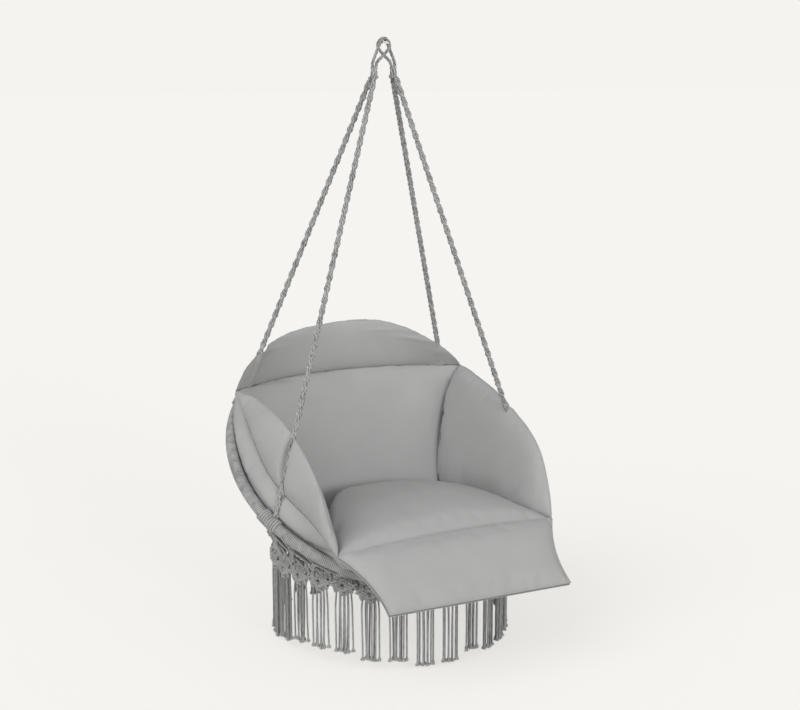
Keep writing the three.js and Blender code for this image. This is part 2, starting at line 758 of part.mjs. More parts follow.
// All that the seat takes from the flap as it lifts about their seam
function flapSweep() {
  const seam = behind(0, seatFrontSet, seatFrontRise);
  const seat = toGeometry(seatPanel(seamGap)).translate(0, -seam.y, -seam.z);
  const turned = (angle) => toSolid(seat.clone().rotateX(deg(angle)).translate(0, seam.y, seam.z));
  const angles = Array.from({ length: liftSteps + 1 }, (_, i) => (flapLift * i) / liftSteps);
  return angles.map(turned).reduce((sum, solid) => sum.add(solid));
}

// A wing: closed sections from the rear corner to the front one, each through its base, crest, seam and foot
function wing(side, extra = 0) {
  const at = ([u, v, w]) => onHoop(side * u * backHoopRadius, v * backHoopRadius, w * backHoopRadius);
  const rings = wingCrestShares.map((crestShare, i) => {
    const base = at(wingBaseShares[i]);
    const crest = at(crestShare);
    const seam = at(wingSeamShares[i]);
    const place = wingSeamShares[i][1] * backHoopRadius;
    const footRadius = backHoopRadius - backWrapRadius;
    const foot = onHoop(side * Math.sqrt(footRadius ** 2 - place ** 2), place, backWrapRadius);
    const inner = base.clone().lerp(crest, 0.5).addScaledVector(across, -side * wingInnerSwell);
    const outer = crest.clone().lerp(seam, 0.5).addScaledVector(across, side * wingOuterSwell);
    const low = base.clone().lerp(foot, 0.5).addScaledVector(across, side * wingOuterSwell);
    const curve = new THREE.CatmullRomCurve3([base, inner, crest, outer, seam, foot, low], true, 'centripetal');
    const ring = curve.getPoints(ringPoints).slice(0, ringPoints);
    const middle = middleOf(ring);
    ring.forEach((p) => p.addScaledVector(p.clone().sub(middle).normalize(), extra));
    return ring;
  });
  const grow = extra / backHoopRadius;
  const rear = at(wingRearShares).addScaledVector(upSlope, grow);
  const front = at(wingFrontShares).addScaledVector(upSlope, -grow);
  return toSolid(loft(rings, rear, front));
}

// The panels, each cut to its room and to the panels beside it
const backSolid = backPanel().intersect(padRoom);
const backCut = backPanel(seamGap);
const wingCut = [-1, 1].map((side) => wing(side, seamGap));
const wingSolids = [-1, 1].map((side) => wing(side).intersect(padRoom).subtract(backCut));
const seatSolid = seatPanel().intersect(padRoom).subtract(backCut).subtract(wingCut[0]).subtract(wingCut[1]);
const collarSolid = collarPanel().intersect(padRoom).subtract(backCut).subtract(wingCut[0]).subtract(wingCut[1]);
const flapCut = flapPanel().subtract(hoopRoom).subtract(flapSweep()).subtract(wingCut[0]).subtract(wingCut[1]);
const flapSolid = flapCut.decompose().reduce((large, solid) => (solid.volume() > large.volume() ? solid : large));

piece('back_cushion', toGeometry(backSolid), fabricMaterial());
piece('left_wing', toGeometry(wingSolids[0]), fabricMaterial());
piece('right_wing', toGeometry(wingSolids[1]), fabricMaterial());
piece('seat_cushion', toGeometry(seatSolid), fabricMaterial());
piece('head_collar', toGeometry(collarSolid), fabricMaterial());
piece('front_flap', toGeometry(flapSolid), fabricMaterial());

console.log(`least gap between turns of a hitch ${leastTurnGap().toFixed(2)} mm`);

export default group;
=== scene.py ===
import math
from functools import partial

import bmesh
import bpy
import numpy as np
from mathutils import Matrix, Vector
from mathutils.kdtree import KDTree


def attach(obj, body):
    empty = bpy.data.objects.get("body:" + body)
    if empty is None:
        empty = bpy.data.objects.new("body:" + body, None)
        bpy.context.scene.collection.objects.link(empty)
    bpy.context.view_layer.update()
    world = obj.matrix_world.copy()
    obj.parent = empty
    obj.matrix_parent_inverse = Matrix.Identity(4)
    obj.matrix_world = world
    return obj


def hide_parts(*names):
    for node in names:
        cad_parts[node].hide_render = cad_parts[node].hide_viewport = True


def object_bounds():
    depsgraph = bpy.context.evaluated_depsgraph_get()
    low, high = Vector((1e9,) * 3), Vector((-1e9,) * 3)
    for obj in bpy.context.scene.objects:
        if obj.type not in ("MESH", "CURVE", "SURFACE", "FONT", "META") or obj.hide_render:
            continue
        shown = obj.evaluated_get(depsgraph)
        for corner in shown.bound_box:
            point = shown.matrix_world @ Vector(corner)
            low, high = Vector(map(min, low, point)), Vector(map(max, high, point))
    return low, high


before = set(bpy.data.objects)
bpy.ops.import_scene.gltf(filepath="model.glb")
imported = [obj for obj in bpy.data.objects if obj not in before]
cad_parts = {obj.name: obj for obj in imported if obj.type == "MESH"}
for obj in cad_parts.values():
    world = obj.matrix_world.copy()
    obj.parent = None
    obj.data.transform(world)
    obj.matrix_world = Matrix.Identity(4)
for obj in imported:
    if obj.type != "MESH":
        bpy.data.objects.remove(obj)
cad_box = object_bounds()

# Sizes that repeat the part's own, in metres
BACK_RADIUS = 0.4
TILT = math.radians(34)
BACK_CENTRE = np.array([0, -0.001, -1.043])
BACK_WRAP = 0.014
SEAT_RADIUS = 0.28
SEAT_WRAP = 0.0115
LASH = math.radians(18)
CLEAR = 0.00035
ROPE = 0.0065
FRONT_ROPE = math.radians(68.3)
BACK_ROPE = math.radians(130)
BINDING = np.array([0.0265, 0, -0.066])
BINDING_RADIUS = 0.0135
TASSELS = 28
TASSEL_DEPTH = 0.016
TASSEL_LENGTH = 0.165
NET_OPEN = math.radians(25.7)
NET_COLUMNS = 24
NET_PITCH = 0.062
TURN = math.pi * 2
WRAP_PITCH = 0.0046
MM = 0.001

UP_SLOPE = np.array([0, math.cos(TILT), math.sin(TILT)])
ABOVE = np.array([0, -math.sin(TILT), math.cos(TILT)])
ACROSS = np.array([1.0, 0, 0])


def unit(v):
    return v / np.maximum(np.linalg.norm(v, axis=-1, keepdims=True), 1e-9)


def mix(a, b, k):
    return a + (b - a) * k


def on_hoop(u, v, w):
    return BACK_CENTRE + ACROSS * u + UP_SLOPE * v + ABOVE * w


def back_point(angle, radius=BACK_RADIUS):
    return on_hoop(radius * math.sin(angle), -radius * math.cos(angle), 0)


HOOP_SPACING = BACK_WRAP + SEAT_WRAP + CLEAR * 2
SEAT_CENTRE = back_point(0) + HOOP_SPACING * np.array([0, math.cos(LASH), -math.sin(LASH)])
SEAT_CENTRE = SEAT_CENTRE + np.array([0, SEAT_RADIUS, 0])


def seat_point(angle, radius=SEAT_RADIUS):
    return SEAT_CENTRE + np.array([radius * math.sin(angle), -radius * math.cos(angle), 0])


# Materials
def material(name, colour, roughness, sheen=0.0, metallic=0.0):
    m = bpy.data.materials.new(name)
    m.use_nodes = True
    shader = m.node_tree.nodes["Principled BSDF"]
    shader.inputs["Base Color"].default_value = (*colour, 1)
    shader.inputs["Roughness"].default_value = roughness
    shader.inputs["Metallic"].default_value = metallic
    shader.inputs["Sheen Weight"].default_value = sheen
    shader.inputs["Sheen Roughness"].default_value = 0.5
    return m


def node(m, kind, links=(), **values):
    made = m.node_tree.nodes.new(kind)
    for name, value in values.items():
        if hasattr(made, name):
            setattr(made, name, value)
        else:
            made.inputs[name.replace("_", " ")].default_value = value
    for socket, source in links:
        m.node_tree.links.new(source, made.inputs[socket])
    return made


def tint(m, factor, dark, pale):
    ramp = node(m, "ShaderNodeMix", data_type="RGBA")
    ramp.inputs[6].default_value = (*dark, 1)
    ramp.inputs[7].default_value = (*pale, 1)
    m.node_tree.links.new(factor, ramp.inputs[0])
    m.node_tree.links.new(ramp.outputs[2], m.node_tree.nodes["Principled BSDF"].inputs["Base Color"])


def bump(m, height, distance, strength=1.0, under=None):
    made = node(m, "ShaderNodeBump", [("Height", height)], Distance=distance, Strength=strength)
    if under:
        m.node_tree.links.new(under.outputs["Normal"], made.inputs["Normal"])
    m.node_tree.links.new(made.outputs["Normal"], m.node_tree.nodes["Principled BSDF"].inputs["Normal"])
    return made


def fabric_material():
    m = material("pad_fabric", (0.37, 0.37, 0.368), 0.95)
    m.node_tree.nodes["Principled BSDF"].inputs["Specular IOR Level"].default_value = 0.15
    place = node(m, "ShaderNodeTexCoord").outputs["Object"]
    cloudy = node(m, "ShaderNodeTexNoise", [("Vector", place)], Scale=9.0, Detail=4.0)
    tint(m, cloudy.outputs["Fac"], (0.358, 0.358, 0.356), (0.43, 0.43, 0.428))
    weave = None
    for turn in (0.0, math.pi / 2):
        spin = node(m, "ShaderNodeMapping", [("Vector", place)])
        spin.inputs["Rotation"].default_value = (0.35, 0.5, turn + 0.4)
        bands = node(m, "ShaderNodeTexWave", [("Vector", spin.outputs["Vector"])], Scale=190.0,
                     Distortion=1.5)
        if weave is None:
            weave = bands.outputs["Fac"]
        else:
            both = [(0, weave), (1, bands.outputs["Fac"])]
            weave = node(m, "ShaderNodeMath", both, operation="ADD").outputs[0]
    threads = bump(m, weave, 0.00012, 0.5)
    soft = node(m, "ShaderNodeTexNoise", [("Vector", place)], Scale=26.0, Detail=3.0)
    bump(m, soft.outputs["Fac"], 0.0016, 0.55, under=threads)
    return m


# Cord: the colour runs from the dark value in the grooves between plies, which is painted shade, to the pale
# value on the crests, with flecks of random tone mixed in
def cord_material(name, dark, pale, pitch, strands, depth, shift=0.0):
    m = material(name, pale, 0.9, sheen=0.2)
    uv = node(m, "ShaderNodeUVMap")
    parts = node(m, "ShaderNodeSeparateXYZ", [(0, uv.outputs["UV"])])
    along = node(m, "ShaderNodeMath", [(0, parts.outputs["X"])], operation="MULTIPLY")
    along.inputs[1].default_value = TURN / pitch
    around = node(m, "ShaderNodeMath", [(0, parts.outputs["Y"])], operation="MULTIPLY")
    around.inputs[1].default_value = TURN * strands
    phase = node(m, "ShaderNodeMath", [(0, along.outputs[0]), (1, around.outputs[0])], operation="ADD")
    start = node(m, "ShaderNodeMath", [(0, phase.outputs[0])], operation="ADD")
    start.inputs[1].default_value = shift * TURN
    wave = node(m, "ShaderNodeMath", [(0, start.outputs[0])], operation="SINE")
    crest = node(m, "ShaderNodeMath", [(0, wave.outputs[0])], operation="MULTIPLY_ADD")
    crest.inputs[1].default_value = 0.5
    crest.inputs[2].default_value = 0.5
    place = node(m, "ShaderNodeTexCoord").outputs["Object"]
    fuzz = node(m, "ShaderNodeTexNoise", [("Vector", place)], Scale=420.0, Detail=3.0)
    fleck = node(m, "ShaderNodeTexNoise", [("Vector", place)], Scale=60.0, Detail=2.0)
    flecks = node(m, "ShaderNodeMath", [(0, fleck.outputs["Fac"])], operation="MULTIPLY_ADD")
    flecks.inputs[1].default_value = 1.6
    flecks.inputs[2].default_value = -0.55
    # Low crests give the painted groove shade; low flecks give random darker tone
    blend = node(m, "ShaderNodeMath", [(0, crest.outputs[0]), (1, flecks.outputs[0])], operation="ADD")
    blend.use_clamp = True
    tint(m, blend.outputs[0], dark, pale)
    ply = bump(m, crest.outputs[0], depth)
    bump(m, fuzz.outputs["Fac"], 0.0006, 0.6, under=ply)
    return m


FABRIC = fabric_material()
CORD = cord_material("laid_cord", (0.2, 0.2, 0.198), (0.43, 0.43, 0.426), 0.004, 2, 0.0006)
PLAIN = cord_material("plain_cord", (0.22, 0.22, 0.218), (0.4, 0.4, 0.396), 0.0022, 1, 0.0002)
# A darker copy of the laid cord, used for the hanging tassel cords and, as painted shade, for the layer
# behind the tassel knots
FRINGE_AND_SHADE = cord_material("fringe_and_shade_cord", (0.15, 0.15, 0.149), (0.46, 0.46, 0.455), 0.005, 2, 0.0006)
STRAND = cord_material("rope_strand", (0.10, 0.10, 0.099), (0.42, 0.42, 0.416), 0.011, 3, 0.0008)
WRAPPING = cord_material("hoop_wrapping", (0.09, 0.09, 0.089), (0.4, 0.4, 0.396), WRAP_PITCH, 0, 0.0006,
                         -0.25)
FRAY = cord_material("frayed_ends", (0.3, 0.3, 0.296), (0.46, 0.46, 0.45), 0.01, 1, 0.0002)
# Near-black cord laid along seams, clefts and the gap at the hoop: painted shade
SHADE_CORD = cord_material("painted_shade_cord", (0.05, 0.05, 0.05), (0.13, 0.13, 0.13), 0.003, 2, 0.0002)
STEEL = material("thimble_steel", (0.75, 0.75, 0.74), 0.3, metallic=1.0)
grain = node(STEEL, "ShaderNodeTexNoise", Scale=300.0, Detail=2.0)
bump(STEEL, grain.outputs["Fac"], 0.00005, 0.4)
PAINT = material("tube_paint", (0.3, 0.31, 0.32), 0.45)
speck = node(PAINT, "ShaderNodeTexNoise", Scale=500.0, Detail=2.0)
bump(PAINT, speck.outputs["Fac"], 0.00008, 0.5)


# Mesh parts: vertices, four-cornered faces and a place along and around for each corner
def grid_part(points, closed_rows=False, closed_columns=False, lengths=None):
    rows, columns = points.shape[:2]
    i = np.arange(rows if closed_rows else rows - 1)
    j = np.arange(columns if closed_columns else columns - 1)
    i, j = (a.ravel() for a in np.meshgrid(i, j, indexing="ij"))
    i2, j2 = (i + 1) % rows, (j + 1) % columns
    faces = np.stack([i * columns + j, i * columns + j2, i2 * columns + j2, i2 * columns + j], axis=1)
    if lengths is None:
        steps = np.linalg.norm(np.diff(points[:, 0], axis=0), axis=1)
        lengths = np.concatenate([[0], np.cumsum(steps), [np.sum(steps) + np.mean(steps)]])
    low, high = lengths[i], lengths[i + 1]
    left, right = j / columns, (j + 1) / columns
    uv = np.stack([low, left, low, right, high, right, high, left], axis=1).reshape(-1, 2)
    return points.reshape(-1, 3), faces, uv


def joined(parts):
    start = np.cumsum([0] + [len(p[0]) for p in parts])
    points = np.concatenate([p[0] for p in parts])
    faces = np.concatenate([p[1] + s for p, s in zip(parts, start)])
    return points, faces, np.concatenate([p[2] for p in parts])


def moved(part, matrix):
    m = np.array(matrix)
    return part[0] @ m[:3, :3].T + m[:3, 3], part[1], part[2]


def make_mesh(name, part, look, welded=False):
    points, faces, uv = part
    mesh = bpy.data.meshes.new(name)
    mesh.vertices.add(len(points))
    mesh.vertices.foreach_set("co", points.astype(np.float32).ravel())
    mesh.loops.add(faces.size)
    mesh.loops.foreach_set("vertex_index", faces.astype(np.int32).ravel())
    mesh.polygons.add(len(faces))
    mesh.polygons.foreach_set("loop_start", np.arange(0, faces.size, 4, dtype=np.int32))
    mesh.uv_layers.new(name="UVMap").data.foreach_set("uv", uv.astype(np.float32).ravel())
    mesh.update(calc_edges=True)
    mesh.validate()
    if welded:
        form = bmesh.new()
        form.from_mesh(mesh)
        bmesh.ops.remove_doubles(form, verts=form.verts, dist=1e-5)
        bmesh.ops.recalc_face_normals(form, faces=form.faces)
        form.to_mesh(mesh)
        form.free()
    mesh.shade_smooth()
    mesh.materials.append(look)
    return mesh


def piece(name, part, look, body, nodes):
    mesh = part if isinstance(part, bpy.types.Mesh) else make_mesh(name, part, look)
    made = bpy.data.objects.new(name, mesh)
    bpy.context.collection.objects.link(made)
    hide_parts(*nodes)
    return made


# Frames along a path, turning as little as they can
def frames(path):
    tangents = unit(np.gradient(path, axis=0))
    start = np.cross(tangents[0], [0.3, 0.5, 0.81])
    sides = [unit(start)]
    for t in tangents[1:]:
        sides.append(unit(sides[-1] - t * np.dot(sides[-1], t)))
    sides = np.array(sides)
    return tangents, sides, np.cross(tangents, sides)


# A tube's ends are rounded by two more rings, given as shares of its radius
TIP_REACH = (0.45, 0.6)
TIP_RADIUS = (0.75, 0.03)


def tube(path, radius, sides=8):
    path = np.asarray(path, float)
    tangents, side, other = frames(path)
    radii = np.broadcast_to(radius, len(path)).astype(float)
    for at, way in ((0, -1), (-1, 1)):
        tip = [path[at] + tangents[at] * way * radii[at] * k for k in TIP_REACH]
        thin = [radii[at] * k for k in TIP_RADIUS]
        turned = [np.repeat(a[at][None], 2, 0) for a in (tangents, side, other)]
        pairs = list(zip((tip, thin, *turned), (path, radii, tangents, side, other)))
        if at == 0:
            pairs = [(more[::-1], whole) for more, whole in pairs]
        else:
            pairs = [(whole, more) for more, whole in pairs]
        path, radii, tangents, side, other = (np.concatenate(pair) for pair in pairs)
    a = np.arange(sides) / sides * TURN
    ring = side[:, None] * np.cos(a)[None, :, None] + other[:, None] * np.sin(a)[None, :, None]
    return grid_part(path[:, None] + ring * radii[:, None, None], closed_columns=True)


def smooth_path(points, per_span):
    p = np.asarray(points, float)
    p = np.concatenate([[2 * p[0] - p[1]], p, [2 * p[-1] - p[-2]]])
    out = []
    for a, b, c, d in zip(p, p[1:], p[2:], p[3:]):
        for k in np.arange(per_span) / per_span:
            out.append(0.5 * (2 * b + (c - a) * k + (2 * a - 5 * b + 4 * c - d) * k**2
                              + (3 * b - a - 3 * c + d) * k**3))
    out.append(p[-2])
    return np.array(out)


def distance_along(path):
    return np.concatenate([[0], np.cumsum(np.linalg.norm(np.diff(path, axis=0), axis=1))])


def spaced(path, step):
    path = np.asarray(path, float)
    far = distance_along(path)
    count = max(int(round(far[-1] / step)), 2)
    at = np.linspace(0, far[-1], count + 1)
    return np.stack([np.interp(at, far, path[:, k]) for k in range(3)], axis=1)


def twisted(path, strands, offset, radius, lay, sides=8, turn_from=0.0):
    path = spaced(path, lay / 14)
    _, side, other = frames(path)
    far = distance_along(path)
    parts = []
    for k in range(strands):
        a = (far / lay + k / strands + turn_from) * TURN
        line = path + offset * (side * np.cos(a)[:, None] + other * np.sin(a)[:, None])
        parts.append(tube(line, radius, sides))
    return joined(parts)


def braided(path, radius, lay, sides=8):
    path = spaced(path, lay / 16)
    _, side, other = frames(path)
    far = distance_along(path)
    parts = []
    for k in range(4):
        way = 1 if k % 2 else -1
        a = (way * far / lay + k / 4) * TURN
        lift = way * np.sin(far / lay * 2 * TURN)
        offset = radius * (0.5 + 0.16 * lift)
        line = path + side * (offset * np.cos(a))[:, None] + other * (offset * np.sin(a))[:, None]
        parts.append(tube(line, radius * (0.5 + 0.03 * lift), sides))
    return joined(parts)


# Hoops in their close cord wrapping
def wrapped_hoop(point_at, hoop_radius, wrap_radius, rib, around=20, per_turn=6):
    turns = int(round(TURN * hoop_radius / WRAP_PITCH))
    count = turns * per_turn
    angles = np.arange(count) / count * TURN
    centres = np.array([point_at(a) for a in angles])
    middle = np.array(point_at(0, 0))
    out = unit(centres - middle)
    up = unit(np.cross(out[0], out[count // 4]))
    b = np.arange(around) / around * TURN
    lift = np.abs(np.sin(np.arange(count) / per_turn * math.pi)) ** 0.7
    radius = np.repeat((wrap_radius - rib + rib * lift)[:, None], around, axis=1)
    ring = out[:, None] * np.cos(b)[None, :, None] + up * np.sin(b)[None, :, None]
    points = centres[:, None] + ring * radius[:, :, None]
    lengths = np.arange(count + 1) / per_turn * WRAP_PITCH
    return grid_part(points, closed_rows=True, closed_columns=True, lengths=lengths)


for name, *sizes in (("back_hoop", back_point, BACK_RADIUS, BACK_WRAP, 0.0014),
                     ("seat_hoop", seat_point, SEAT_RADIUS, SEAT_WRAP, 0.0012)):
    hoop = piece(f"{name}_cord", wrapped_hoop(*sizes), WRAPPING, "chair", [f"{name}_wrap"])
    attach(hoop, "chair")


# Ropes of four braided strands, and their hitches with a short tail along the rope
ROPE_LAY = 0.056
HITCH_REACH = BACK_WRAP + 0.0011 + 0.0058
HITCH_TURNS = 8
HITCH_PITCH = 0.0066
HITCH_CORD = 0.0032
HITCH_RADIUS = BACK_WRAP + 0.0014
TAIL_LENGTH = 0.12


def rope_line(side, angle, lane):
    foot = back_point(side * angle)
    aim = BINDING * [side, 1, 1] + [0, lane, 0]
    direction = unit(aim - foot)
    high = aim - direction * (BINDING_RADIUS * math.cos(math.pi / 16) + CLEAR)
    tangent = np.array([math.cos(side * angle), *(math.sin(side * angle) * UP_SLOPE[1:])])
    along = abs(np.dot(direction, tangent))
    low = foot + direction * (HITCH_REACH + CLEAR + ROPE * along) / math.sqrt(1 - along**2)
    return high, low, direction


def hitch_path(side, angle):
    path = []
    for k in np.linspace(0, HITCH_TURNS, HITCH_TURNS * 20 + 1):
        at = side * (angle + (k - 1.6) * HITCH_PITCH / BACK_RADIUS)
        centre = back_point(at)
        out = unit(centre - BACK_CENTRE)
        path.append(centre + HITCH_RADIUS * (out * math.cos(k * TURN) + ABOVE * math.sin(k * TURN)))
    return path


def rope_tail(low, direction, side):
    away = unit(np.cross(direction, [0, 1.0, 0])) * side
    path = []
    for k in np.linspace(0, 1, 13):
        beside = away * ROPE * (1.05 - 0.7 * k**3)
        path.append(low + direction * k * TAIL_LENGTH + beside + [0, -0.003, 0])
    return twisted(path, 2, 0.0022, 0.0024, 0.03, 8)


for name, side in (("left", -1), ("right", 1)):
    for end, angle, way in (("front", FRONT_ROPE, -1), ("back", BACK_ROPE, 1)):
        high, low, direction = rope_line(side, angle, way * (ROPE + CLEAR))
        path = spaced([high, low], 0.02)
        rope = piece(f"{end}_{name}_rope_strands", braided(path, ROPE * 1.04, ROPE_LAY, 10), STRAND,
                     "chair", [f"{end}_{name}_rope"])
        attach(rope, "chair")
        turns = tube(hitch_path(side, angle), HITCH_CORD, 12)
        knot = twisted([low - direction * 0.006, low + direction * 0.004], 3, 0.0042, 0.0038, 0.05, 10)
        tail = rope_tail(low, direction, side)
        hitch = piece(f"{end}_{name}_hitch_cord", joined([turns, knot, tail]), PLAIN, "chair",
                      [f"{end}_{name}_hitch"])
        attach(hitch, "chair")


# Eyes over the thimble, and the whipped bindings under them
COIL_RADIUS = 0.0086


def eye_path(side):
    leg = 0.004 + CLEAR
    low = BINDING[2] + BINDING_RADIUS + CLEAR
    bend = low + 0.0135
    lane = side * 0.0045
    x = BINDING[0]
    radius = 0.008 + 0.0016 + CLEAR * 2 + 0.004
    points = [(side * (x + leg), 0, low), (side * (x + leg), lane / 2, bend)]
    for i in range(10):
        a = math.radians(84 - 212 * i / 9)
        peak = 1 + 0.2 * math.exp(-(a / 0.4) ** 2)
        points.append((side * radius * math.sin(a), lane, radius * peak * math.cos(a)))
    points.append((side * 0.002, lane, -0.023))
    points.append((side * (x - leg - 0.004), lane / 2, bend))
    points.append((side * (x - leg), 0, low))
    return smooth_path(points, 8)


def binding(side):
    ends = [[0, 0, BINDING_RADIUS], [side * 0.001, 0, -BINDING_RADIUS * 0.9]]
    sleeve = twisted(ends, 4, 0.0046, 0.0042, 0.06, 10)
    coil = []
    for k in np.linspace(0, 1.6, 49):
        coil.append([COIL_RADIUS * math.cos(k * TURN), COIL_RADIUS * math.sin(k * TURN), k * 0.003 - 0.0118])
    return moved(joined([sleeve, tube(coil, 0.0024, 8)]), Matrix.Translation(BINDING * [side, 1, 1]))


for name, side in (("left", -1), ("right", 1)):
    eye = piece(f"{name}_eye_cord", twisted(eye_path(side), 3, 0.002, 0.0021, 0.03, 8), STRAND, "loops",
                [f"{name}_eye"])
    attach(eye, "loops")
    whipping = piece(f"{name}_whipping", binding(side), STRAND, "chair", [f"{name}_binding"])
    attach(whipping, "chair")


# Square knot of two working cords round two core cords, 18 mm wide and 22 mm high, its front towards -Y
KNOT_CORD = 0.0028


def square_knot(radius=KNOT_CORD):
    over = [(-6, -2, 11), (-8.5, -3, 7.5), (-3, -6, 5.5), (4, -6, 3.5), (9, -2, 1.5), (8.5, 3, -0.5),
            (4, 5, -3), (-4, 5, -5), (-9, 1, -6.5), (-6, -2.5, -11)]
    under = [(6, 2, 11), (8.5, 3, 7.5), (3, 5.5, 5.5), (-4, 5.5, 3.5), (-9, 1, 1.5), (-8.5, -3, -0.5),
             (-3, -6, -3), (4, -6, -5), (9, -2, -6.5), (6, -2.5, -11)]
    parts = [tube(smooth_path(np.array(p) * MM, 4), radius * 0.9, 8) for p in (over, under)]
    for x in (-2.9, 2.9):
        parts.append(tube(np.array([(x, 0, 12), (x, -0.5, 0), (x, 0, -12)]) * MM, radius, 6))
    return joined(parts)


KNOT = square_knot()


def placed(position, right, down, size=1.0, tilt=0.0):
    right = unit(right)
    up = unit(-down + right * np.dot(down, right))
    back = np.cross(up, right)
    turn = Matrix.Rotation(tilt, 4, "Y")
    basis = Matrix((right, back, up)).transposed().to_4x4()
    return Matrix.Translation(position) @ basis @ turn @ Matrix.Scale(size, 4)


# Net between the hoops: pairs of cords that cross and are knotted together
def shell_point(angle, drop, lift, aside=0.0):
    top, low = back_point(angle), seat_point(angle)
    line = unit(low - top)
    tangent = math.cos(angle) * ACROSS + math.sin(angle) * UP_SLOPE
    out = unit(np.cross(line, tangent))
    start = top + line * (BACK_WRAP * 0.7)
    end = low - line * (SEAT_WRAP * 0.7)
    return mix(start, end, drop) + out * lift + tangent * aside


def column_angle(column):
    column = abs(column)
    if column > NET_COLUMNS:
        column = 2 * NET_COLUMNS - column
    return NET_OPEN + column / NET_COLUMNS * (TURN - NET_OPEN * 2)


def shell_net():
    rng = np.random.default_rng(4)
    parts = []
    for c in range(NET_COLUMNS):
        for way in (-1, 1):
            for beside in (-1, 1):
                path = []
                for k in np.linspace(0, 1, 33):
                    over = way * 0.0022 * math.cos(k * math.pi * 4)
                    close = 0.0029 * (0.62 + 0.38 * abs(math.sin(k * math.pi * 4)))
                    path.append(shell_point(column_angle(c + 0.5 + way * 2 * k), k, over, beside * close))
                parts.append(tube(path, 0.0029, 8))
    for row in (0.25, 0.5, 0.75):
        for c in range(NET_COLUMNS + (row != 0.5)):
            angle = column_angle(c + (0.5 if row == 0.5 else 0))
            here = shell_point(angle, row, 0)
            down = shell_point(angle, row + 0.05, 0) - here
            right = shell_point(angle + 0.01, row, 0) - here
            out = shell_point(angle, row, 0.001) - here
            if np.dot(np.cross(unit(-down), unit(right)), out) > 0:
                right = -right
            size = 0.85 + rng.uniform(-0.05, 0.05)
            parts.append(moved(KNOT, placed(here, right, down, size, rng.uniform(-0.1, 0.1))))
    return joined(parts)


net = piece("shell_macrame", shell_net(), CORD, "chair", ["shell_net"])
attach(net, "chair")


# Net across the seat hoop: cords both ways with a knot at each crossing
def seat_net():
    parts = []
    reach = SEAT_RADIUS - SEAT_WRAP + 0.002
    count = int(reach / NET_PITCH)
    lines = (np.arange(-count, count) + 0.5) * NET_PITCH
    for turned in (False, True):
        for x in lines:
            half = math.sqrt(reach**2 - x**2)
            y = np.linspace(-half, half, 41)
            for beside in (-0.0029, 0.0029):
                wave = 0.0016 * np.cos(y / NET_PITCH * math.pi) * (-1 if turned else 1)
                points = np.stack([np.full_like(y, x + beside), y, wave - 0.0005], axis=1)
                if turned:
                    points = points[:, [1, 0, 2]]
                parts.append(tube(points + SEAT_CENTRE, 0.0028, 8))
    for x in lines:
        for y in lines:
            if math.hypot(x, y) < reach - 0.01:
                here = SEAT_CENTRE + [x, y, -0.001]
                parts.append(moved(KNOT, placed(here, np.array([1.0, 0, 0]), np.array([0, 1.0, 0]), 0.72)))
    return joined(parts)


net = piece("seat_macrame", seat_net(), CORD, "chair", ["seat_net"])
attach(net, "chair")


# Tassels: knots over the seat hoop and eight laid cords with frayed ends, in five forms and in millimetres
TASSEL_EXTRA = (22, 10, -4, 26, 10)
TASSEL_LIFT = (14, 12, 13, 0, 0)
TASSEL_CORDS = ((-20.5, -3), (-12.5, 4), (-7, -4.5), (-2, 5.5), (4, -4), (9.5, 3.5), (14, -4), (21, 2))
FRAYS = 26


def swag(arc, radius=KNOT_CORD * 0.9):
    return tube(smooth_path(np.array(arc) * MM, 5), radius, 8)


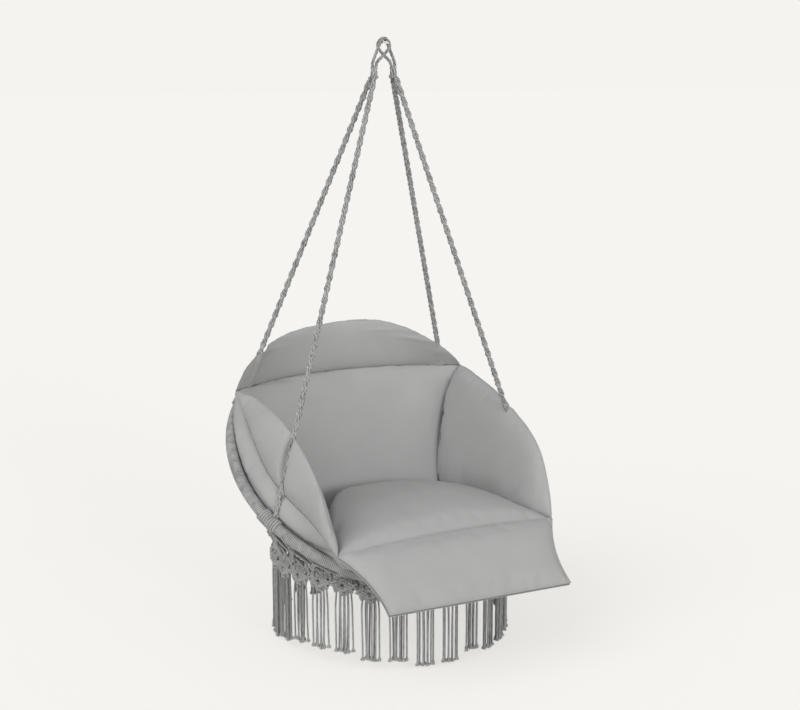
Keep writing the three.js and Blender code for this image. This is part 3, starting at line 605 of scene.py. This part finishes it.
def tassel(seed):
    rng = np.random.default_rng(seed)
    extra = TASSEL_EXTRA[seed]
    lift = TASSEL_LIFT[seed]
    knots = []
    parts = []
    frays = []
    cord = KNOT_CORD / MM * 0.9
    # Nine thick cords behind the knots, in the darker fringe cord: painted shade that fills the knots'
    # hollows and gaps
    for k in range(9):
        x = -30 + k * 7.5 + rng.uniform(-1.5, 1.5)
        lean = (9, -8)[k % 2]
        line = [(x - lean * 1.6, 4, 30), (x, 1.5, 6), (x + lean, 3, -9)]
        parts.append(tube(np.array(line) * MM + [0, 0, lift * MM], 0.0036, 6))
    for side in (-1, 1):
        for x, meet in ((20, 13), (7, 13)):
            for beside in (-1, 1):
                a = side * x + beside * (cord + 0.3)
                b = side * meet + beside * cord * 0.8
                arc = [(a, 5, 20), (a, -2.5, 13), (a * 0.98, -6, 5), (b, -6.5, -3)]
                knots.append(swag(arc))
        for beside in (-1, 1):
            a = side * 13 + beside * cord
            arc = [(a, -6, -6), (side * 8 + beside * cord, -7.5, -11), (beside * cord, -6, -17)]
            knots.append(swag(arc))
            a = side * 20.5 + beside * (cord + 0.2)
            arc = [(side * 15 + beside * cord, -5, -4), (a, -5, -10), (a * 0.95, -2, -19)]
            knots.append(swag(arc))
        a = side * 28 + side * rng.uniform(-2, 2)
        arc = [(side * 15, -6, 9), (a, -7, 2), (side * 36, -2, 5)]
        knots.append(swag(arc, KNOT_CORD))
        arc = [(side * 12, -7, -6), (a, -6, -3), (side * 35, -1, -6)]
        knots.append(swag(arc, KNOT_CORD))
    places = ((-13.5, -4, 5, 0.2, 0.82), (13.5, -4, 5, -0.2, 0.82), (0, -17, 4, 0, 0.9),
              (0, 9, 2, 0.1, 0.8), (-20, -15, 1.5, -0.3, 0.6), (20, -15, 1.5, 0.3, 0.6))
    for x, z, out, tilt, size in places:
        turn = Matrix.Rotation(tilt + rng.uniform(-0.15, 0.15), 4, "Y")
        place = Matrix.Translation((x * MM, -out * MM, z * MM)) @ turn @ Matrix.Scale(size, 4)
        knots.append(moved(KNOT, place))
    knots = [moved(knot, Matrix.Translation((0, 0, lift * MM))) for knot in knots]
    for x, y in TASSEL_CORDS:
        swing = rng.uniform(-1.4, 1.4)
        low = -TASSEL_LENGTH / MM + 12 - extra + rng.uniform(-2, 3)
        path = [(x * 0.86, y * 0.7, lift - 15), (x, y, -45), (x + swing, y, -100),
                (x + swing * 1.6, y + swing, low)]
        path = smooth_path(np.array(path) * MM, 6)
        parts.append(twisted(path, 2, 0.0012, 0.0014, 0.011, 6, rng.uniform()))
        end = path[-1]
        for _ in range(FRAYS):
            a = rng.uniform(0, TURN)
            spread = rng.uniform(0.1, 1) ** 0.6
            flare = np.array([math.cos(a), math.sin(a), 0]) * spread
            tip = end + flare * 0.0066 + [0, 0, -0.0125 + 0.004 * spread**2 + rng.uniform(-0.001, 0.001)]
            mid = end + flare * 0.0034 + [0, 0, -0.005]
            frays.append(tube([end + flare * 0.001 + [0, 0, 0.002], mid, tip], 0.0006, 4))
    return joined(knots), joined(parts), joined(frays)


def tassel_mesh(seed):
    knots, cords, frays = tassel(seed)
    points, faces, uv = joined([knots, cords, frays])
    mesh = make_mesh(f"tassel_form_{seed}", (points, faces, uv), CORD)
    mesh.materials.append(FRINGE_AND_SHADE)
    mesh.materials.append(FRAY)
    index = np.zeros(len(faces), dtype=np.int32)
    index[len(knots[1]):] = 1
    index[len(knots[1]) + len(cords[1]):] = 2
    mesh.polygons.foreach_set("material_index", index)
    return mesh


forms = [tassel_mesh(seed) for seed in range(len(TASSEL_LIFT))]
FORM_ORDER = "3433001201210210210001222443"
head_drop = SEAT_WRAP * math.sin(math.radians(45))
ring_radius = SEAT_RADIUS + SEAT_WRAP * math.cos(math.radians(45)) + CLEAR + TASSEL_DEPTH / 2
for i in range(TASSELS):
    angle = i / TASSELS * TURN
    form = forms[int(FORM_ORDER[i])]
    fringe = piece(f"fringe_{i + 1:02d}", form, CORD, "chair", [f"tassel_{i + 1:02d}"])
    fringe.matrix_world = (Matrix.Translation(seat_point(angle, ring_radius) - [0, 0, head_drop])
                           @ Matrix.Rotation(angle, 4, "Z"))
    bpy.context.view_layer.update()
    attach(fringe, "chair")


# Pad: closed pillows over patches, with their crowns drawn in to the seams
rng = np.random.default_rng(11)


def behind(x, back, rise):
    return BACK_CENTRE + np.stack([x, back, rise], axis=-1)


def grid(columns, rows):
    s = np.sin((np.arange(columns + 1) / columns - 0.5) * math.pi)
    t = np.sin((np.arange(rows + 1) / rows - 0.5) * math.pi)
    return np.meshgrid(s, t, indexing="ij")


def patch_normals(points):
    ds = np.gradient(points, axis=0)
    dt = np.gradient(points, axis=1)
    return unit(np.cross(ds, dt))


def puckers(s, t, size):
    edge = np.exp(-(1 - np.abs(s)) * 14) + np.exp(-(1 - np.abs(t)) * 14)
    wave = np.zeros_like(s)
    for _ in range(5):
        f, g = rng.uniform(14, 42, 2)
        wave += np.sin(f * s + rng.uniform(0, 6)) * np.exp(-(1 - np.abs(t)) * 14)
        wave += np.sin(g * t + rng.uniform(0, 6)) * np.exp(-(1 - np.abs(s)) * 14)
    slack = np.zeros_like(s)
    for _ in range(4):
        f, g = rng.uniform(-4, 4, 2)
        slack += np.sin(f * s + g * t + rng.uniform(0, 6))
    return size * (wave / 5 * np.minimum(edge, 1) + slack / 5)


def pillow(place, swell, depth, columns=72, rows=48, power=(4, 4), root=(0.5, 0.5), wrinkle=0.0008):
    s, t = grid(columns, rows)
    base = place(s, t)
    normal = patch_normals(base)
    fill_s, fill_t = (np.clip(1 - np.abs(a) ** p, 0, 1) ** r for a, p, r in zip((s, t), power, root))
    fill = fill_s * fill_t
    front = base + normal * (swell * fill + puckers(s, t, wrinkle) * fill**0.3)[..., None]
    back = base - normal * (depth * fill)[..., None]
    return joined([grid_part(front), grid_part(back[::-1])])


def spline(at, places, values):
    line = smooth_path(np.stack([places, values, np.zeros(len(places))], axis=1), 12)
    return np.interp(at, line[:, 0], line[:, 1])


def back_place(s, t):
    k = (t + 1) / 2
    rise = mix(-0.165, 0.185, k)
    half = spline(rise, (-0.135, -0.011, 0.0836, 0.15, 0.185), (0.242, 0.264, 0.284, 0.312, 0.335))
    corner = spline(rise, (-0.135, -0.011, 0.0836, 0.15, 0.185), (0.128, 0.16, 0.167, 0.17, 0.172))
    return behind(s * half, mix(mix(0.18, 0.276, k), corner, s * s), rise)


COLLAR_AT = (-1, -0.967, -0.907, -0.761, -0.597, -0.415, -0.2, 0, 0.2, 0.4, 0.6, 0.8, 0.93, 1)
COLLAR_HIGH = (0, 0.03, 0.062, 0.094, 0.111, 0.122, 0.128, 0.132, 0.134, 0.128, 0.105, 0.063, 0.025, 0)


def collar_place(s, t):
    k = (t + 1) / 2
    high = spline(s, COLLAR_AT, COLLAR_HIGH)
    lean = 0.055 * s * s * (1 - s**8)
    return behind(s * 0.335, mix(0.276, 0.172, s * s) - lean * k, 0.186 + high * k)


# The seat rises in a dome whose left rear corner is slack and sinks
DOME_BACK = (-0.316, -0.25, -0.177, -0.052, 0.033, 0.083, 0.13, 0.2)
DOME_LEFT = (0.35, 0.34, 0.266, 0.2, 0.142, 0.09, 0.045, 0.01)
DOME_EDGE = 0.03
DOME_SINK = 0.05
SEAT_BOTTOM = -0.222


def seat_base(s, t):
    k = (t + 1) / 2
    half = spline(k, (0, 0.18, 0.55, 0.8, 1), (0.301, 0.284, 0.281, 0.268, 0.244))
    front_edge = mix(-0.104, -0.117, s * s)
    return behind(s * half, mix(-0.316, mix(0.19, 0.13, s * s), k), mix(front_edge, -0.14, k * k))


def seat_slack(base):
    x, y, _ = np.moveaxis(base - BACK_CENTRE, -1, 0)
    over = np.clip((DOME_EDGE - x - np.interp(y, DOME_BACK, DOME_LEFT)) / (DOME_EDGE * 2), 0, 1)
    return over * over * (3 - 2 * over)


def seat_panel(swell=0.047):
    s, t = grid(96, 72)
    base = seat_base(s, t)
    slack = seat_slack(base)
    normal = patch_normals(base)
    top = np.sqrt(np.clip((1 - np.abs(s) ** 2.3) * (1 - np.abs(t) ** 2.2), 0, 1))
    low = np.sqrt(np.clip((1 - np.abs(s) ** (8 + 4 * t)) * (1 - t**4), 0, 1))
    rise = swell * top * (1 - slack) + puckers(s, t, 0.0008) * top**0.3
    front = base + normal * rise[..., None] - np.array([0, 0, DOME_SINK]) * (slack * low)[..., None]
    back = base.copy()
    back[..., 2] = mix(base[..., 2], BACK_CENTRE[2] + SEAT_BOTTOM, low)
    return joined([grid_part(front), grid_part(back[::-1])])


def flap_place(s, t):
    k = (1 - t) / 2
    top = behind(np.zeros_like(s), np.full_like(s, -0.316), -0.106 - 0.012 * s * s - 0.002 * s**8)
    hem = on_hoop(0, 0, 0.069) + (-0.511 - 0.006 * s)[..., None] * UP_SLOPE
    half = mix(0.3, 0.247, k) - 0.017 * (1 - t * t)
    return mix(top, hem, k[..., None]) + (s * half + 0.003 * k)[..., None] * ACROSS


# A rope presses a groove, of this width, curve and depth, into the panels that it lies against
FRONT_GROOVE = (0.023, 110, ROPE * 0.2)
BACK_GROOVE = (0.023 * 1.8, 40, ROPE * 1.1)


def pressed(points, end, side):
    angle, way = (FRONT_ROPE, -1) if end == "front" else (BACK_ROPE, 1)
    _, low, direction = rope_line(side, angle, way * (ROPE + CLEAR))
    away = np.array([0, 1.0, 0]) if end == "back" else np.array([side, -0.2 + side * 0.3, 0])
    width, curve, depth = BACK_GROOVE if end == "back" else FRONT_GROOVE
    outward = unit(away - direction * np.dot(away, direction))
    aside = np.cross(direction, outward)
    rel = points - low
    out, across, along = rel @ outward, rel @ aside, rel @ direction
    limit = across**2 * curve - depth
    near = np.clip(1 - (across / width) ** 2, 0, 1) ** 2.5 * (along > -0.02)
    excess = near * np.maximum(out - limit, 0)
    return points - outward * excess[..., None]


# Below the back hoop the pad stays inside the net
NET_CLEARANCE = 0.009


def inside_net(points):
    x, y, z = np.moveaxis(points, -1, 0)
    angle = np.arctan2(x, BACK_CENTRE[1] - y)
    for _ in range(4):
        top = BACK_CENTRE[2] - np.cos(angle) * BACK_RADIUS * math.sin(TILT)
        drop = np.clip((top - z) / (top - SEAT_CENTRE[2]), 0, 1)
        centre = mix(BACK_CENTRE[1], SEAT_CENTRE[1], drop)
        wide = mix(BACK_RADIUS, SEAT_RADIUS, drop)
        deep = mix(BACK_RADIUS * math.cos(TILT), SEAT_RADIUS, drop)
        angle = np.arctan2(x / wide, (centre - y) / deep)
    reach = np.maximum(np.hypot(x / wide, (y - centre) / deep), 1e-6)
    share = np.minimum((1 - NET_CLEARANCE / wide) / reach, 1)
    share = mix(1, share, np.clip(drop / 0.12, 0, 1))
    return np.stack([x * share, centre + (y - centre) * share, z], axis=-1)


def in_place(points):
    return inside_net(pressed(pressed(points, "back", -1), "back", 1))


# Panels stay outside the hoop's wrapping
def clear_of_hoop(points):
    rel = points - BACK_CENTRE
    across, along, above = rel[..., 0], rel @ UP_SLOPE, rel @ ABOVE
    ring = np.maximum(np.hypot(across, along), 1e-6)
    offset = np.stack([ring - BACK_RADIUS, above], axis=-1)
    far = np.maximum(np.linalg.norm(offset, axis=-1, keepdims=True), 1e-6)
    push = offset / far * np.maximum(BACK_WRAP + 0.0012 - far, 0)
    radial = (across[..., None] * ACROSS + along[..., None] * UP_SLOPE) / ring[..., None]
    return points + radial * push[..., :1] + ABOVE * push[..., 1:]


def wing_in_place(points, side):
    return clear_of_hoop(inside_net(pressed(points, "front", side)))


def add_trim(name, part, look, body="chair"):
    made = bpy.data.objects.new(name, make_mesh(name, part, look))
    bpy.context.collection.objects.link(made)
    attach(made, body)


# The cloth is held at its seams, a little too large and under light pressure, and moves a few millimetres
CLOTH_FRAMES = 16
CLOTH_LIMIT = 0.0035


def settled(made, seams, reshape):
    tree = KDTree(len(seams))
    for i, point in enumerate(seams):
        tree.insert(point, i)
    tree.balance()
    mesh = made.data
    held = [v.index for v in mesh.vertices if tree.find(v.co)[2] < 1e-4]
    made.vertex_groups.new(name="seams").add(held, 1, "REPLACE")
    cloth = made.modifiers.new("cloth", "CLOTH")
    cloth.settings.quality = 4
    cloth.settings.mass = 0.2
    cloth.settings.bending_stiffness = 0.4
    cloth.settings.shrink_min = -0.012
    cloth.settings.use_pressure = True
    cloth.settings.uniform_pressure_force = 4
    cloth.settings.vertex_group_mass = "seams"
    cloth.settings.effector_weights.gravity = 0
    cloth.point_cache.frame_end = CLOTH_FRAMES
    for k in range(1, CLOTH_FRAMES + 1):
        bpy.context.scene.frame_set(k)
    shape = made.evaluated_get(bpy.context.evaluated_depsgraph_get()).data
    before, after = (np.empty(len(mesh.vertices) * 3) for _ in range(2))
    mesh.vertices.foreach_get("co", before)
    shape.vertices.foreach_get("co", after)
    before, after = before.reshape(-1, 3), after.reshape(-1, 3)
    shift = after - before
    size = np.maximum(np.linalg.norm(shift, axis=1, keepdims=True), 1e-9)
    shift *= np.tanh(size / CLOTH_LIMIT) * CLOTH_LIMIT / size
    made.modifiers.remove(cloth)
    made.vertex_groups.clear()
    bpy.context.scene.frame_set(1)
    mesh.vertices.foreach_set("co", reshape(before + shift).ravel())
    mesh.update()


def rim(rows, columns, points):
    lattice = np.asarray(points)[:rows * columns].reshape(rows, columns, 3)
    return np.concatenate([lattice[0], lattice[-1], lattice[:, 0], lattice[:, -1]])


def add_pad(name, part, node_name, body="chair", seams=(), reshape=lambda points: points):
    made = piece(name, make_mesh(name, part, FABRIC, welded=True), FABRIC, body, [node_name])
    if len(seams):
        settled(made, seams, reshape)
    made.data.set_sharp_from_angle(angle=math.radians(50))
    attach(made, body)


back = pillow(back_place, 0.030, 0.064)
collar = pillow(collar_place, 0.016, 0.022, power=(2.2, 3), root=(1, 0.5))
seat = seat_panel()
for name, part, node_name, rows, columns in (("back_panel", back, "back_cushion", 73, 49),
                                             ("collar_panel", collar, "head_collar", 73, 49),
                                             ("seat_panel", seat, "seat_cushion", 97, 73)):
    part = (in_place(part[0]), *part[1:])
    add_pad(name, part, node_name, seams=rim(rows, columns, part[0]), reshape=in_place)
line = np.linspace(-1, 1, 81)
# A near-black cord along the collar's lower edge: painted shade in the seam
add_trim("collar_seam_shade", tube(collar_place(line, np.full(81, -1.0)) + [0, -0.0006, 0], 0.0012), SHADE_CORD)


def flap_panel(thickness=0.009, swell=0.012):
    s, t = grid(72, 36)
    base = flap_place(s, t)
    normal = patch_normals(base)
    fill = np.sqrt(np.clip((1 - s**4) * (1 - np.abs(t) ** 3), 0, 1))[..., None]
    front = base + normal * (thickness / 2 + swell * 1.5 * fill)
    back = base - normal * (thickness / 2 + swell * fill)
    top = [(i, -1) for i in range(72)]
    right = [(-1, -1 - j) for j in range(36)]
    low = [(-1 - i, 0) for i in range(72)]
    left = [(0, j) for j in range(36)]
    i, j = (list(a) for a in zip(*(top + right + low + left)))
    edge = [grid_at[i, j] for grid_at in (front, back)]
    band = grid_part(np.stack(edge, axis=1), closed_rows=True)
    return joined([grid_part(front), grid_part(back[::-1]), band]), edge


flap, flap_rims = flap_panel()
add_pad("flap_panel", flap, "front_flap", body="flap", seams=np.concatenate(flap_rims))
add_trim("flap_piping", joined([tube(edge, 0.0016, 8) for edge in flap_rims]), FABRIC, "flap")
# Two near-black cords along the flap's edge band: painted shade in the seams between the band and the faces
middle = (flap_rims[0] + flap_rims[1]) / 2
outward = unit(flap_rims[0] - flap_rims[1])
threads = [tube(middle + outward * side * 0.0022, 0.0008, 6) for side in (-1, 1)]
add_trim("flap_edge_shade_lines", joined(threads), SHADE_CORD, "flap")


# Wings: sections from the rear corner to the front one, through base, crest, seam and foot
CREST = [(0.335, 0.246, 0.057), (0.332, 0.216, 0.076), (0.32, 0.167, 0.104), (0.315, 0.06, 0.147),
         (0.313, -0.034, 0.167), (0.315, -0.116, 0.175), (0.314, -0.192, 0.162), (0.31, -0.272, 0.117),
         (0.301, -0.327, 0.08)]
SEAM = [(0.335, 0.246, 0.055), (0.333, 0.216, 0.054), (0.338, 0.168, 0.051), (0.3495, 0.06, 0.05),
        (0.351, -0.034, 0.05), (0.336, -0.116, 0.053), (0.314, -0.192, 0.058), (0.304, -0.272, 0.069),
        (0.301, -0.327, 0.078)]
BASE = [(0.335, 0.246, 0.055), (0.304, 0.216, 0.012), (0.276, 0.168, -0.045), (0.246, 0.048, -0.175),
        (0.265, -0.034, -0.125), (0.281, -0.116, -0.067), (0.283, -0.192, -0.015), (0.285, -0.272, 0.044),
        (0.301, -0.327, 0.076)]
FOOT_AT = (-0.125, 0.016, 0.066, 0.116, 0.163, 0.19, 0.217, 0.244)
FOOT_RADIUS = (0.383, 0.383, 0.386, 0.39, 0.396, 0.4, 0.406, 0.412)
WING_STEPS = (20, 16, 8, 14, 4)


def wing(side):
    def line(table):
        return smooth_path([on_hoop(side * u, v, w) for u, v, w in table], 16)

    crest, seam, base = (line(table) for table in (CREST, SEAM, BASE))
    count = len(crest)
    ends = np.sin(np.linspace(0, math.pi, count)) ** 0.5
    slopes = smooth_path(SEAM, 16)[:, 1]
    radius = np.interp(slopes, FOOT_AT, FOOT_RADIUS)
    lift = np.interp(radius, (0.383, 0.392), (0.011, 0.017))
    foot = [on_hoop(side * math.sqrt(r**2 - v * v), v, w) for v, r, w in zip(slopes, radius, lift)]
    held = np.clip((slopes + 0.33) / 0.07, 0, 1)
    foot = mix(seam, np.array(foot), (np.clip(ends * 1.25, 0, 1) * held)[:, None])
    rear = np.clip(1 - np.linspace(0, 1, count) * 2.2, 0, 1)[:, None]
    tuck = rear * [side * 0.012, 0.03, -0.012] + (1 - rear) * [-side * 0.012, 0.0, -0.05]
    tuck = tuck * (ends * held)[:, None]
    toe = base + tuck
    base = base + tuck * 0.2

    def arc(a, b, bulge, hold, steps, power=2.6):
        k = (1 - np.cos(np.linspace(0, math.pi, steps + 1)[:-1])) / 2
        flat = a[:, None] + (b - a)[:, None] * k[None, :, None]
        along = unit(np.gradient((a + b) / 2, axis=0))
        normal = unit(np.cross(b - a + 1e-9, along))
        rise = (1 - np.abs(2 * k - 1) ** power) ** 0.6
        return flat + normal[:, None] * (bulge * side * ends * hold)[:, None, None] * rise[None, :, None]

    rounds = ((base, crest, -0.018, 1), (crest, seam, -0.012, 1), (seam, foot, -0.007, 1),
              (foot, toe, -0.004, held**2), (toe, base, 0, 1))
    rings = [arc(*curve, steps) for curve, steps in zip(rounds, WING_STEPS)]
    return wing_in_place(np.concatenate(rings, axis=1), side)


# A near-black band in the gap between the pad's foot and the hoop: painted shade standing in for the dark
# crevice
def hoop_gap_shade(side):
    path = []
    inner = BACK_RADIUS - BACK_WRAP - 0.003
    for v in np.linspace(0.21, -0.22, 60):
        path.append(on_hoop(side * math.sqrt(inner**2 - v * v), v, -0.002))
    return tube(path, np.sin(np.linspace(0.15, math.pi - 0.15, 60)) ** 0.5 * 0.006, 8)


# A thick near-black cord in the cleft where the wing meets the back panel: painted shade
def back_cleft_shade(side):
    path = smooth_path([on_hoop(side * u, v, w) for u, v, w in BASE[:4]], 12)
    return tube(path[2:] + [-side * 0.004, -0.008, 0.001], 0.0036, 8)


for name, side in (("left", -1), ("right", 1)):
    rings = wing(side)
    edges = np.cumsum((0, *WING_STEPS[:4]))
    _, crest, seam, _, _ = edges
    held = np.concatenate([rings[:, edges].reshape(-1, 3), rings[0], rings[-1]])
    add_pad(f"{name}_wing_panel", grid_part(rings, closed_columns=True), f"{name}_wing", seams=held,
            reshape=partial(wing_in_place, side=side))
    # A near-black cord along the wing's seam: painted shade in the seam line
    add_trim(f"{name}_wing_seam_shade", tube(rings[:, seam], 0.0009, 6), SHADE_CORD)
    add_trim(f"{name}_wing_piping", tube(rings[2:-2, crest], 0.0014, 8), FABRIC)
    add_trim(f"{name}_back_cleft_shade", back_cleft_shade(side), SHADE_CORD)
    add_trim(f"{name}_lacing", hoop_gap_shade(side), SHADE_CORD)

for name, look in (("hook_thimble", STEEL), ("back_hoop_tube", PAINT), ("seat_hoop_tube", PAINT)):
    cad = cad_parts[name]
    cad.data.materials.clear()
    cad.data.materials.append(look)


# Floor, sky, lamps and camera
BACKDROP = (0.905, 0.895, 0.863)
FLOOR_GLOW = (1.0, 0.99, 0.956)
FLOOR_DROP = 0.032


# One where the camera, gloss or glass looks straight at a surface
def seen_share(tree, share=1.0):
    path = tree.nodes.new("ShaderNodeLightPath")
    value = path.outputs["Is Camera Ray"]
    for ray in ("Is Glossy Ray", "Is Transmission Ray"):
        either = tree.nodes.new("ShaderNodeMath")
        either.operation = "MAXIMUM"
        tree.links.new(value, either.inputs[0])
        tree.links.new(path.outputs[ray], either.inputs[1])
        value = either.outputs[0]
    scaled = tree.nodes.new("ShaderNodeMath")
    scaled.operation = "MULTIPLY"
    scaled.inputs[1].default_value = share
    tree.links.new(value, scaled.inputs[0])
    return scaled.outputs[0]


def stage_material(colour):
    m = material("pale_floor", colour, 1.0)
    shader = m.node_tree.nodes["Principled BSDF"]
    shader.inputs["Specular IOR Level"].default_value = 0
    glow = node(m, "ShaderNodeEmission", Color=(*FLOOR_GLOW, 1), Strength=1.0)
    share = seen_share(m.node_tree, 0.67)
    blend = node(m, "ShaderNodeMixShader", [(0, share), (1, shader.outputs[0]), (2, glow.outputs[0])])
    m.node_tree.links.new(blend.outputs[0], m.node_tree.nodes["Material Output"].inputs["Surface"])
    return m


floor_mesh = bpy.data.meshes.new("floor")
reach = 60
floor_mesh.from_pydata([(-reach, -reach, 0), (reach, -reach, 0), (reach, reach, 0), (-reach, reach, 0)], [],
                       [(0, 1, 2, 3)])
floor_mesh.materials.append(stage_material((0.87, 0.862, 0.835)))
floor = bpy.data.objects.new("floor", floor_mesh)
floor.location.z = cad_box[0][2] - FLOOR_DROP
bpy.context.collection.objects.link(floor)

world = bpy.data.worlds.new("sky")
bpy.context.scene.world = world
world.use_nodes = True
sky = world.node_tree.nodes["Background"]
sky.inputs["Color"].default_value = (0.93, 0.93, 0.93, 1)
sky.inputs["Strength"].default_value = 0.48
seen_sky = world.node_tree.nodes.new("ShaderNodeBackground")
seen_sky.inputs["Color"].default_value = (*BACKDROP, 1)
choice = world.node_tree.nodes.new("ShaderNodeMixShader")
for source, socket in ((seen_share(world.node_tree), choice.inputs[0]), (sky.outputs[0], choice.inputs[1]),
                       (seen_sky.outputs[0], choice.inputs[2]),
                       (choice.outputs[0], world.node_tree.nodes["World Output"].inputs[0])):
    world.node_tree.links.new(source, socket)


def sun(name, azimuth, elevation, strength, spread):
    lamp = bpy.data.lights.new(name, "SUN")
    lamp.energy = strength
    lamp.angle = math.radians(spread)
    made = bpy.data.objects.new(name, lamp)
    made.rotation_euler = (math.radians(90 - elevation), 0, math.radians(azimuth))
    bpy.context.collection.objects.link(made)


sun("key", -74, 40, 1.45, 50)
sun("fill", 2, 14, 0.85, 16)
sun("low", 26, 24, 0.3, 30)

camera = bpy.data.cameras.new("camera")
camera.sensor_width = 36
camera.lens = 68.48
camera.clip_end = 200
view = bpy.data.objects.new("camera", camera)
bpy.context.collection.objects.link(view)
turn_azimuth, turn_elevation = math.radians(-29.84), math.radians(10.96)
view.location = (-1.847, -3.300, -0.036)
view.rotation_euler = (math.pi / 2 - turn_elevation, 0, turn_azimuth)
bpy.context.scene.camera = view
bpy.context.scene.view_settings.view_transform = "Standard"
